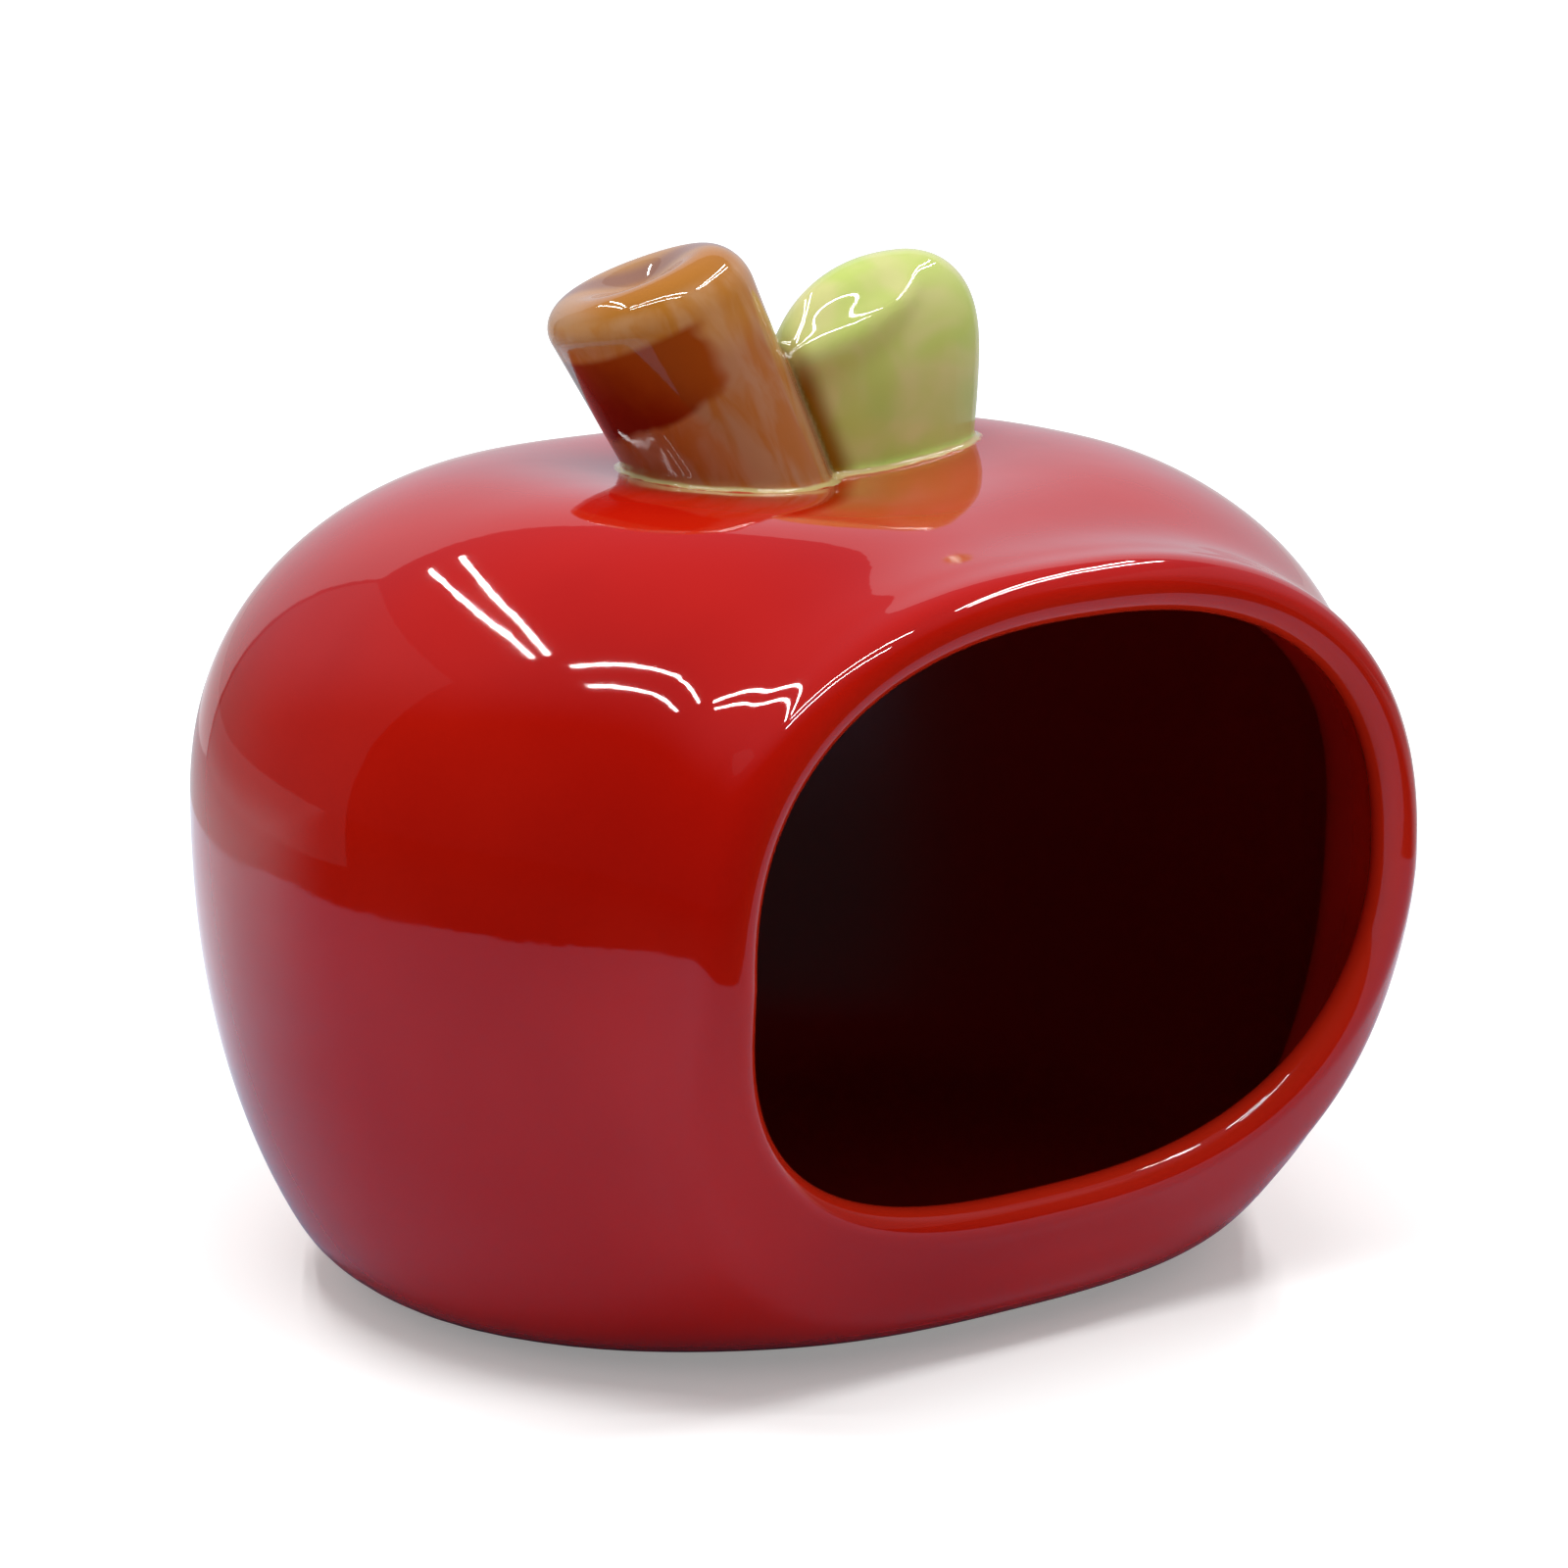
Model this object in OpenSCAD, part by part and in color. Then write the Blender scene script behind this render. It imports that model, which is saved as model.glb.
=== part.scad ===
// Apple-shaped ceramic hideout for a small pet, slip cast in one piece.
// The foot stands on z = 0, the doorway faces -Y and +X is to the right of someone
// who looks in through the doorway.

/* [Apple] */
// Width of the body, across the doorway
body_width = 120; // [110:1:150]
// Depth of the body without its collar, front to back
body_depth = 104; // [94:1:130]
// Height of the widest level above the foot
widest_height = 47; // [44:1:56]
// Rise of the shoulders above the widest level, before the dimple is pressed in
crown_rise = 38.5; // [36:0.5:48]
// How far below the widest level the sides would meet if the foot didn't cut them off
base_reach = 69; // [66:1:100]
// Fullness of the plan outline, where 2 is an ellipse and more is squarer
plan_power = 2.2; // [2:0.05:2.7]
// Fullness of the shoulders in side view
crown_power = 2.37; // [2.1:0.01:2.8]
// Fullness of the lower sides in side view
base_power = 2.25; // [2:0.01:2.7]
// How much the front and the back draw in towards the base, besides the round of the sides
base_taper = 2.6; // [0:0.1:4]
// Reach of the soft rounding between the sides and the foot
foot_blend = 14; // [8:1:18]

/* [Dimple] */
// Depth of the dimple that the stem stands in
dimple_depth = 6.5; // [3:0.5:10]
// Radius at which the dimple has faded to about a third
dimple_radius = 27; // [20:1:34]

/* [Walls] */
// Thickness of the cast wall
wall = 4; // [3:0.25:5.5]
// Thickness of the floor inside
floor_thickness = 5; // [4:0.5:8]
// Reach of the soft rounding between the inner walls and the floor
floor_blend = 14; // [8:1:18]

/* [Doorway] */
// Clear width of the doorway inside its lip
door_width = 74; // [62:0.5:78]
// Clear height of the doorway inside its lip
door_height = 56.5; // [48:0.5:58]
// Share of the doorway's height that lies below its widest level
door_sill_share = 0.5; // [0.45:0.005:0.52]
// How far the doorway's widest level lies below that of the apple
door_drop = 3; // [0:0.25:4]
// Squareness of the doorway's upper half, where 2 is an ellipse
door_power = 2.37; // [2:0.01:2.8]
// Squareness of its lower half
door_sill_power = 2.6; // [2.2:0.01:2.8]
// How far the front of the lip lies behind the bulge that the doorway cuts away
lip_setback = 3; // [0:0.5:4]
// How far the sill lies behind the sides of the doorway, as the apple draws in below
sill_setback = 5.5; // [2:0.5:6.5]
// Thickness of the round lip
lip_thickness = 4.5; // [3.5:0.25:5]
// Angle at which the collar flares away behind the lip, at the top and at the sides
collar_flare = 52; // [40:1:60]
// The same angle below the doorway
sill_flare = 60; // [50:1:65]
// How much more the collar flares at the doorway's lower corners
corner_flare = 15; // [0:1:20]
// How far the collar spreads out over the body, at the top and at the sides
collar_spread = 7; // [5:0.5:10]
// How far the collar spreads out below the doorway
sill_spread = 6; // [4:0.5:7]
// How much further it spreads out at the doorway's lower corners
corner_spread = 6.5; // [0:0.5:8]
// How full the chin is that the collar forms at the doorway's lower corners
corner_fullness = 0.6; // [0:0.05:0.7]

/* [Foot ring] */
// Width of the bare ring that the piece stands on
foot_ring_width = 5; // [3:0.5:9]
// Depth of the glazed recess inside the foot ring
foot_recess_depth = 1; // [0.5:0.25:1.5]

/* [Stem] */
// Diameter of the stem below its cut top
stem_diameter = 21.5; // [16:0.5:26]
// Diameter of the stem at its root
stem_root_diameter = 19; // [14:0.5:24]
// Height of the middle of the cut top above the bottom of the dimple
stem_height = 20; // [15:0.5:26]
// Sideways lean of the stem, away from the leaf, in degrees
stem_lean = 21.5; // [10:0.5:28]
// Backward lean of the stem, in degrees
stem_back_lean = 7.5; // [0:0.5:12]
// Rounding of the rim of the cut top
stem_rim = 4.2; // [2:0.1:5]
// Depth of the dish in the cut top
stem_dish = 1.4; // [0:0.1:2]
// How far the root of the stem lies to the left of the middle
stem_offset = 6; // [2:0.5:9]

/* [Leaf] */
// Width of the leaf
leaf_width = 24.5; // [18:0.5:28]
// Height of the leaf above the bottom of the dimple
leaf_height = 20.5; // [15:0.5:28]
// Share of the leaf's width that lies to the left of its tip
leaf_tip_share = 0.65; // [0.5:0.01:0.75]
// Thickness of the leaf at its thickest level
leaf_thickness = 12.5; // [9:0.5:16]
// Height of the ridge that runs up the front of the leaf
leaf_ridge = 1.2; // [0:0.1:2]
// How far the leaf and the stem run into each other at their roots
sprig_overlap = 4.5; // [3:0.5:7]
// How far the roots of the stem and the leaf lie behind the middle
sprig_setback = 3; // [0:0.5:6]

/* [Hidden] */

// Numbers of facets round the doorway and of rings along each stretch of the skin
door_facets = 64;
body_rings = 34;
collar_rings = 6;
lip_rings = 6;
throat_rings = 5;
cavity_rings = 23;

// Numbers of facets round the stem and the leaf and of rings up each
sprig_facets = 28;
stem_rings = 8;
rim_rings = 5;
dish_rings = 3;
leaf_rings = 13;

// Share of the leaf's height above which its sides draw in
leaf_shoulder = 0.38;

// Half sizes of the apple and the point that its skin is measured from
half_width = body_width/2;
half_depth = body_depth/2;
core = [0, 0, widest_height];

// The skin runs this far below the foot before it is cut off flat
foot_trim = 0.6;

// Places and half sizes of the doorway and its lip
door_front = half_depth - lip_setback;
door_centre_height = widest_height - door_drop;
door_half_width = door_width/2;
sill_drop = door_height*door_sill_share;
door_rise = door_height - sill_drop;
lip_radius = lip_thickness/2;

// Share of the body's half depth at which the collar runs out into the body
collar_aim = 0.75;

// Share of the doorway's lower half over which the lean of the lip sets in
lean_onset = 0.2;

// How far the collar keeps the direction that it leaves the lip in, as a share of its reach
collar_hold = 0.4;

// Height of the bottom of the dimple and the places of the stem and the leaf in it
dimple_floor = widest_height + crown_rise - dimple_depth;
stem_place = [-stem_offset, sprig_setback, dimple_floor];
leaf_tip_reach = stem_diameter/2 + leaf_width*leaf_tip_share - sprig_overlap;
leaf_place = stem_place + [leaf_tip_reach, 0, 0];
root_depth = wall/2;

// Radius of a superellipse with half sizes a and b in the direction (c, s)
function super_radius(c, s, a, b, power) =
    pow(pow(abs(c)/a, power) + pow(abs(s)/b, power), -1/power);

// Smaller of two lengths, with the change from one to the other spread over a blend
function soft_min(a, b, blend) =
    let (h = max(blend - abs(a - b), 0)/blend)
    min(a, b) - pow(h, 3)*blend/6;

function unit(v) = v/norm(v);
function mix(a, b, t) = a + (b - a)*t;
function smooth_step(t) = t*t*(3 - 2*t);
function bezier(p, t) =
    pow(1 - t, 3)*p[0] + 3*pow(1 - t, 2)*t*p[1] + 3*(1 - t)*t*t*p[2] + pow(t, 3)*p[3];

// Point of the apple's skin in a direction from the core. The inset is 0 for the
// outer skin and the wall for the cavity, whose floor lies at the given height.
function skin(dir, inset, floor_height, blend) =
    let (
        c = norm([dir[0], dir[1]]),
        s = dir[2],
        depth = half_depth - inset - base_taper*pow(max(-s, 0), 2),
        plan = c < 0.0001 ? half_width
             : super_radius(dir[0]/c, dir[1]/c, half_width - inset, depth, plan_power),
        upper = super_radius(c, s, plan, crown_rise - inset, crown_power),
        lower = super_radius(c, s, plan, base_reach - inset, base_power),
        to_floor = (widest_height - floor_height)/max(-s, 0.001),
        radius = s > 0 ? upper : soft_min(lower, to_floor, blend),
        fade = smooth_step(max(s, 0)),
        dimple = fade*dimple_depth*exp(-pow(radius*c/dimple_radius, 2))
    )
    core + radius*dir - [0, 0, dimple];
function outer_skin(dir) = skin(dir, 0, -foot_trim, foot_blend);
function cavity_skin(dir) = skin(dir, wall, floor_thickness, floor_blend);

// Half height and squareness of the half of the doorway that an angle points to
function door_reach(angle) = sin(angle) < 0 ? sill_drop : door_rise;
function squareness(angle) = sin(angle) < 0 ? door_sill_power : door_power;

// Unit vector that points outwards from the doorway's outline at an angle, as [x, z]
function door_normal(angle) =
    let (
        power = squareness(angle),
        r = super_radius(cos(angle), sin(angle), 1, 1, power)
    )
    unit([sign(cos(angle))*pow(abs(r*cos(angle)), power - 1)/door_half_width,
          sign(sin(angle))*pow(abs(r*sin(angle)), power - 1)/door_reach(angle)]);

// Point on the doorway's outline, grown sideways, at the given y
function door_point(angle, grow, y) =
    let (
        r = super_radius(cos(angle), sin(angle), 1, 1, squareness(angle)),
        normal = door_normal(angle)
    )
    [door_half_width*r*cos(angle) + grow*normal[0],
     y,
     door_centre_height + door_reach(angle)*r*sin(angle) + grow*normal[1]];

// How much of a point on the outline counts as lying below the doorway or at a lower corner
function below(angle) = pow(max(-sin(angle), 0), 2);
function at_corner(angle) = sin(angle) < 0 ? pow(sin(2*angle), 2) : 0;

// Flare and spread of the collar round the doorway
function flare(angle) =
    mix(collar_flare, sill_flare, below(angle)) + corner_flare*at_corner(angle);
function collar_growth(angle) =
    lip_thickness + mix(collar_spread, sill_spread, below(angle)) + corner_spread*at_corner(angle);

// Direction from the core through the doorway's outline, grown sideways
function door_direction(angle, grow) =
    unit(door_point(angle, grow, -half_depth*collar_aim) - core);

// The same direction turned towards the back pole by a share of the way, where 0 is the pole
function turned(dir, share) =
    let (
        from_back = acos(dir[1])*share,
        across = unit([dir[0], 0, dir[2]])
    )
    [sin(from_back)*across[0], cos(from_back), sin(from_back)*across[2]];

// How far the lip leans back at an angle, which sets in softly below the widest level
function lean(angle) =
    let (
        r = super_radius(cos(angle), sin(angle), 1, 1, squareness(angle)),
        depth = max(-r*sin(angle), 0)
    )
    sill_setback*depth*depth*(1 + lean_onset)/(depth + lean_onset);

// Point on the half-round lip, where a turn of 0 faces outwards and 90 faces the front
function lip_point(angle, turn) =
    door_point(angle, lip_radius*(1 + cos(turn)),
        lip_radius*(1 - sin(turn)) - door_front + lean(angle));

// Direction in which the collar runs back from the lip
function collar_direction(angle) =
    let (
        normal = door_normal(angle),
        out = sin(flare(angle))
    )
    [out*normal[0], cos(flare(angle)), out*normal[1]];

// Curve between a point on the lip and a point on the skin that is reached along a direction
function collar_curve(angle, lip_end, skin_end, along) =
    let (
        reach = norm(skin_end - lip_end),
        hold = collar_hold + corner_fullness*at_corner(angle)
    )
    [lip_end, lip_end + hold*reach*collar_direction(angle),
     skin_end + collar_hold*reach*along, skin_end];

// Stretches of the skin along one line, from the outer back pole to the inner back pole
function body_stretch(angle) =
    let (dir = door_direction(angle, collar_growth(angle)))
    [for (j = [1:body_rings]) outer_skin(turned(dir, j/body_rings))];

function collar_stretch(angle) =
    let (
        dir = door_direction(angle, collar_growth(angle)),
        start = outer_skin(dir),
        along = unit(start - outer_skin(turned(dir, 0.98))),
        curve = collar_curve(angle, lip_point(angle, flare(angle)), start, along)
    )
    [for (j = [1:collar_rings]) bezier(curve, 1 - j/collar_rings)];

function lip_stretch(angle) =
    [for (j = [1:lip_rings]) lip_point(angle, flare(angle) + 180*j/lip_rings)];

function throat_stretch(angle) =
    let (
        dir = door_direction(angle, collar_growth(angle) - wall),
        end = cavity_skin(dir),
        along = unit(end - cavity_skin(turned(dir, 0.98))),
        curve = collar_curve(angle, lip_point(angle, flare(angle) + 180), end, along)
    )
    [for (j = [1:throat_rings]) bezier(curve, j/throat_rings)];

function cavity_stretch(angle) =
    let (dir = door_direction(angle, collar_growth(angle) - wall))
    [for (j = [1:cavity_rings - 1]) cavity_skin(turned(dir, 1 - j/cavity_rings))];

// Whole skin from the outer back pole over the lip to the inner back pole, as one closed surface
module skin_shell() {
    lines = [for (i = [0:door_facets - 1])
        let (angle = 360*i/door_facets)
        concat(body_stretch(angle), collar_stretch(angle), lip_stretch(angle),
            throat_stretch(angle), cavity_stretch(angle))];
    rings = len(lines[0]);
    outer_pole = door_facets*rings;
    inner_pole = outer_pole + 1;
    points = concat([for (line = lines) each line], [outer_skin([0, 1, 0]), cavity_skin([0, 1, 0])]);
    sides = [for (i = [0:door_facets - 1], j = [0:rings - 2])
        let (
            a = i*rings + j,
            b = ((i + 1)%door_facets)*rings + j
        )
        each [[a, b + 1, b], [a, a + 1, b + 1]]];
    caps = [for (i = [0:door_facets - 1])
        let (
            a = i*rings,
            b = ((i + 1)%door_facets)*rings
        )
        each [[outer_pole, a, b], [inner_pole, b + rings - 1, a + rings - 1]]];
    polyhedron(points, concat(sides, caps));
}

// Reach of the flat foot from the middle in a plan direction, found by halving the angle
// below the widest level until the skin there lies on the foot's plane
function foot_reach(plan_angle, low = 5, high = 85, steps = 24) =
    let (
        tilt = (low + high)/2,
        dir = [cos(tilt)*cos(plan_angle), cos(tilt)*sin(plan_angle), -sin(tilt)],
        point = outer_skin(dir)
    )
    steps == 0 ? norm([point[0], point[1]])
    : point[2] > 0 ? foot_reach(plan_angle, tilt, high, steps - 1)
    : foot_reach(plan_angle, low, tilt, steps - 1);

module foot_recess() {
    outline = [for (angle = [0:5:355])
        (foot_reach(angle) - foot_ring_width)*[cos(angle), sin(angle)]];
    translate([0, 0, -1])
        linear_extrude(1 + foot_recess_depth)
            polygon(outline);
}

module body() {
    color("firebrick")
        difference() {
            skin_shell();
            translate([-half_width, -half_depth, -2])
                cube([body_width, body_depth, 2]);
            foot_recess();
        }
}

// Closed loft through rings of points, with a flat end at the bottom and at the top
module loft(rings) {
    n = len(rings[0]);
    top = (len(rings) - 1)*n;
    sides = [for (j = [0:len(rings) - 2], i = [0:n - 1])
        let (
            a = j*n + i,
            b = j*n + (i + 1)%n
        )
        each [[a, b + n, b], [a, a + n, b + n]]];
    ends = [[for (i = [0:n - 1]) i], [for (i = [n - 1:-1:0]) top + i]];
    polyhedron([for (ring = rings) each ring], concat(sides, ends));
}

// Ring of the stem at a height: level at the root and square to the stem at the top
function stem_ring(height, radius) =
    let (share = max(height, 0)/stem_height)
    [for (i = [0:sprig_facets - 1])
        let (
            angle = 360*i/sprig_facets,
            r = radius*(1 + 0.02*cos(3*angle + 40)),
            x = r*cos(angle),
            y = r*sin(angle),
            z = height + x*share*sin(stem_lean) - y*share*sin(stem_back_lean)
        )
        stem_place + [x - height*tan(stem_lean), y + height*tan(stem_back_lean), z]];

module stem() {
    top_radius = stem_diameter/2;
    root_radius = stem_root_diameter/2;
    shoulder = stem_height - stem_rim;
    root = [stem_ring(-root_depth, root_radius + 0.6), stem_ring(0, root_radius + 0.3)];
    shaft = [for (j = [0:stem_rings])
        let (t = j/stem_rings)
        stem_ring(mix(1, shoulder, t), mix(root_radius, top_radius, smooth_step(t)))];
    rim = [for (j = [1:rim_rings])
        let (turn = 90*j/rim_rings)
        stem_ring(shoulder + stem_rim*sin(turn), top_radius - stem_rim*(1 - cos(turn)))];
    dish_radius = top_radius - stem_rim;
    dish = [for (j = [1:dish_rings])
        let (share = j/(dish_rings + 1))
        stem_ring(stem_height - stem_dish*smooth_step(share), dish_radius*(1 - share))];
    color("peru")
        loft(concat(root, shaft, rim, dish));
}

// How far a side of the leaf still reaches at a share of its height, above its straight lower part
function leaf_side(share, power) =
    let (t = max(share - leaf_shoulder, 0)/(1 - leaf_shoulder))
    pow(1 - pow(t, power), 1/power);

// Ring of the leaf at a share of its height, with the ridge moving from its left to its right
function leaf_ring(share) =
    let (
        pinch = 1 - 0.13*pow(1 - share, 3),
        left = pinch*leaf_width*leaf_tip_share*leaf_side(share, 2),
        right = pinch*leaf_width*(1 - leaf_tip_share)*leaf_side(share, 3),
        thick = leaf_thickness/2*leaf_side(share, 2.4),
        ridge_angle = mix(205, 300, share)
    )
    [for (i = [0:sprig_facets - 1])
        let (
            angle = 360*i/sprig_facets,
            ridge = leaf_ridge*exp(-pow((angle - ridge_angle)/24, 2))*(1 - share*share),
            r = super_radius(cos(angle), sin(angle), (left + right)/2, thick, 2.2) + ridge
        )
        leaf_place + [r*cos(angle) + (right - left)/2, r*sin(angle), share*leaf_height]];

module leaf() {
    root = [for (point = leaf_ring(0)) point - [0, 0, root_depth]];
    color("yellowgreen")
        loft(concat([root], [for (j = [0:leaf_rings]) leaf_ring(0.995*sin(90*j/leaf_rings))]));
}

module hideout() {
    body();
    stem();
    leaf();
}

hideout();
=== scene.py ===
"""Looks of a glazed ceramic hideout in the shape of an apple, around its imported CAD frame."""

import itertools
import math

import bpy
import numpy as np
from mathutils import Matrix, Vector


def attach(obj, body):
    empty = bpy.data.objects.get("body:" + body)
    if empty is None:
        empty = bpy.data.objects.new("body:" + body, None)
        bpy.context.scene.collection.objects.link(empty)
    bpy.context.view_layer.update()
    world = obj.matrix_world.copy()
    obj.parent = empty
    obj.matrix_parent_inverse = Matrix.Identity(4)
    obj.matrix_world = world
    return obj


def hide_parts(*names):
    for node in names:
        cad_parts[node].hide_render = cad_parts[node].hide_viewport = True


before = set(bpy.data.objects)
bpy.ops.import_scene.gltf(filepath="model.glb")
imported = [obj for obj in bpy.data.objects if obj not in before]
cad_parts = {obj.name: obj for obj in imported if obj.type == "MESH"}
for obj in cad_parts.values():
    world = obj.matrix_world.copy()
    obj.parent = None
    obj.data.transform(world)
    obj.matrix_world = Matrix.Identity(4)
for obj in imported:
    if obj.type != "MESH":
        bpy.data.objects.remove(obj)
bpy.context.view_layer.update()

# Sizes of the object in millimetres and degrees, as in the CAD source. Those of the stem and the
# leaf differ a little from it, because here they follow the photograph more closely.
BODY_WIDTH = 120.0
BODY_DEPTH = 104.0
WIDEST_HEIGHT = 47.0
CROWN_RISE = 38.5
BASE_REACH = 69.0
PLAN_POWER = 2.2
CROWN_POWER = 2.37
BASE_POWER = 2.25
BASE_TAPER = 2.6
FOOT_BLEND = 14.0
FOOT_TRIM = 0.6
DIMPLE_DEPTH = 6.5
DIMPLE_RADIUS = 27.0
WALL = 4.0
FLOOR_THICKNESS = 5.0
FLOOR_BLEND = 14.0
DOOR_WIDTH = 74.0
DOOR_HEIGHT = 56.5
DOOR_SILL_SHARE = 0.5
DOOR_DROP = 3.0
DOOR_POWER = 2.37
DOOR_SILL_POWER = 2.6
LIP_SETBACK = 3.0
LIP_THICKNESS = 4.5
SILL_SETBACK = 5.5
LEAN_ONSET = 0.2
COLLAR_FLARE = 52.0
SILL_FLARE = 60.0
CORNER_FLARE = 15.0
COLLAR_SPREAD = 7.0
SILL_SPREAD = 6.0
CORNER_SPREAD = 6.5
CORNER_FULLNESS = 0.6
COLLAR_AIM = 0.75
COLLAR_HOLD = 0.4
FOOT_RING_WIDTH = 5.0
FOOT_RECESS = 1.0
RECESS_EDGE = (-0.6, 1.2)
STEM_DIAMETER = 19.8
STEM_ROOT_DIAMETER = 20.0
STEM_HEIGHT = 20.1
STEM_LEAN = 24.5
STEM_BACK_LEAN = 7.5
CUT_TILT = 21.5
STEM_RIM = 3.8
STEM_DISH = 1.4
STEM_OFFSET = 5.2
STEM_ROOT_HEIGHT = 1.0
STEM_LOBES = 0.02
LOBE_TURN = 40
LEAF_WIDTH = 24.5
LEAF_HEIGHT = 20.5
LEAF_TIP_SHARE = 0.65
LEAF_THICKNESS = 12.5
LEAF_RIDGE = 1.3
RIDGE_TURNS = (109, 261)
RIDGE_SPREAD = 20
RIDGE_RISE = 0.4
RIDGE_FALL = 0.25
LEAF_POWER = 2.2
LEAF_PINCH = 0.13
LEAF_SHOULDER = 0.38
LEAF_LIMIT = 1.3
LEAF_DRAW_IN = 2.5
LEAF_DRAW_SKEW = 0.5
LEAF_OFFSET = 16.175
SPRIG_SETBACK = 3.0

# Depth by which the facets of the CAD's lip fall short of its round front
FACET_SINK = 0.025

# Pool of glaze that deepens the dimple, and its radius
GLAZE_POOL = 1.0
POOL_RADIUS = 26.0

# Height up to which the outer skin counts as flat foot, and the depth inside the foot's outline
# that stands for everywhere far from it
FLAT_HEIGHT = 0.02
OFF_FOOT = -8.0

# Tilts in degrees between which the foot's edge is looked for, and how often they are halved
FOOT_TILTS = (5, 85)
FOOT_HALVINGS = 30

# Values worked out from the sizes
HALF_WIDTH = BODY_WIDTH / 2
HALF_DEPTH = BODY_DEPTH / 2
CORE = np.array([0.0, 0.0, WIDEST_HEIGHT])
DOOR_FRONT = HALF_DEPTH - LIP_SETBACK - FACET_SINK
DOOR_CENTRE = WIDEST_HEIGHT - DOOR_DROP
SILL_DROP = DOOR_HEIGHT * DOOR_SILL_SHARE
LIP_RADIUS = LIP_THICKNESS / 2
DIMPLE_FLOOR = WIDEST_HEIGHT + CROWN_RISE - DIMPLE_DEPTH
STEM_PLACE = np.array([-STEM_OFFSET, SPRIG_SETBACK, DIMPLE_FLOOR])
LEAF_PLACE = np.array([LEAF_OFFSET, SPRIG_SETBACK, DIMPLE_FLOOR])

# Lines round the doorway and rows along each stretch of the skin
LINES = 320
BODY_ROWS = 140
COLLAR_ROWS = 30
LIP_ROWS = 20
THROAT_ROWS = 20
CAVITY_ROWS = 50

# Share of the way from the back pole at which a skin's run towards its edge is measured
NEAR_EDGE = 0.98

# Rows of the body that are drawn smooth with the groove round the collar, and how often
BODY_ROWS_EASED = 45
GROOVE_PASSES = 130

# Corners and step of the grid that the stem and the leaf are drawn on, and how often its points
# are settled onto their surface
SPRIG_LOW = np.array([-27.0, -12.0, 71.0])
SPRIG_HIGH = np.array([33.0, 19.0, 104.0])
SPRIG_STEP = 0.4
SETTLING_STEPS = 3

# Reach of the glaze that fills the corners of the stem and the leaf, how far their glaze sinks
# into the body's skin, and how far it stops short of the end of its fillet
SPRIG_FILLET = 2.0
WATERLINE_FILLET = 1.3
SPRIG_SINK = 0.012
WATERLINE_TRIM = 0.02

# Where the glazes change and where painted shade darkens the crease, in millimetres: half the border
# of stem and leaf, the crease of painted shade between them, the pool beside it with its own border and
# its heights, and the border of the stem's cut
LEAF_BORDER = 0.7
CREASE = (0.1, 1.0)
POOL = (0.8, 3.4)
POOL_BORDER = 0.4
POOL_HEIGHTS = (6, 14)
CUT_START = STEM_HEIGHT - 0.55 * STEM_RIM
CUT_BORDER = 1.2

# Thin glaze on the crest of the lip, as shares of the lip's turn
CREST_PLACE = 0.45
CREST_SPREAD = 0.3

# Colours of the glazes and the clay, and of the painted shade in the cavity and the crease, as
# linear red, green and blue
DEEP_RED = (0.320, 0.0035, 0.0006, 1)
LIGHT_RED = (0.370, 0.0060, 0.0015, 1)
THIN_RED = (0.480, 0.0250, 0.0080, 1)
# Painted shade: the dark red that the glaze inside the cavity is darkened towards
CAVITY_SHADE_RED = (0.150, 0.0015, 0.0006, 1)
FRINGE_RED = (0.330, 0.0060, 0.0015, 1)
CREAM = (0.42, 0.33, 0.14, 1)
CLAY = (0.72, 0.60, 0.48, 1)
CLAY_GRIT = (0.60, 0.47, 0.35, 1)
STEM_TAN = (0.40, 0.20, 0.080, 1)
STEM_OCHRE = (0.36, 0.140, 0.020, 1)
STEM_ROSE = (0.32, 0.145, 0.070, 1)
STEM_AMBER = (0.31, 0.100, 0.020, 1)
DARK_RUST = (0.13, 0.008, 0.0006, 1)
LIGHT_RUST = (0.24, 0.045, 0.004, 1)
CUT_TAN = (0.34, 0.175, 0.070, 1)
CUT_OCHRE = (0.33, 0.125, 0.016, 1)
CUT_PALE = (0.36, 0.185, 0.080, 1)
CUT_MAUVE = (0.19, 0.095, 0.080, 1)
LEAF_GREEN = (0.41, 0.49, 0.125, 1)
LEAF_PALE = (0.50, 0.50, 0.20, 1)
LEAF_DARK = (0.31, 0.43, 0.095, 1)
POOL_OLIVE = (0.19, 0.080, 0.004, 1)
# Painted shade of the crease between stem and leaf
CREASE_SHADE_BROWN = (0.075, 0.035, 0.003, 1)

# Camera that looks at the object as the photograph does, in degrees and metres
CAMERA_AZIMUTH = -35.35
CAMERA_ELEVATION = 13.664
CAMERA_DISTANCE = 0.495195
CAMERA_LENS = 113.278
CAMERA_ASIDE = -0.000358
CAMERA_AIM_HEIGHT = 0.047208

# Light box round the object, in metres, measured from the object's middle. Bars are pairs of thin
# lamps under its ceiling, and the table is a round board that shows in the glaze.
BOX_HEIGHT = 0.35
BOX_BACK = 0.30
BOX_SIDE = 0.31
WALL_END = 0.07
SIDE_BARS = ((0.183, 0.161), (0.222, 0.180))
SIDE_BAR_ENDS = (-0.22, 0.068)
FRONT_BARS = (0.100, 0.145)
FRONT_BAR_ENDS = (-0.15, 0.12)
BAR_HALF_WIDTH = 0.0026
PANEL_GAP = 0.012
TABLE_RADIUS = 0.215
TABLE_EDGE = 0.002
FLOOR_HALF = 3.0

# Radiance of the lamps and of the soft light from all round, where 1 shows as white
BAR_RADIANCE = 60.0
BACKDROP_RADIANCE = 0.38
WALL_RADIANCE = 0.10
BACKDROP_COLOUR = (0.93, 0.96, 1.0)
AMBIENT = 0.45

# Floor as the camera sees it: its own colour, and the glow that lifts it to white further out
FLOOR_COLOUR = (0.80, 0.80, 0.80, 1)
FLOOR_GLOW = 0.25
GLOW_REACH = (0.16, 0.40)

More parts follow.
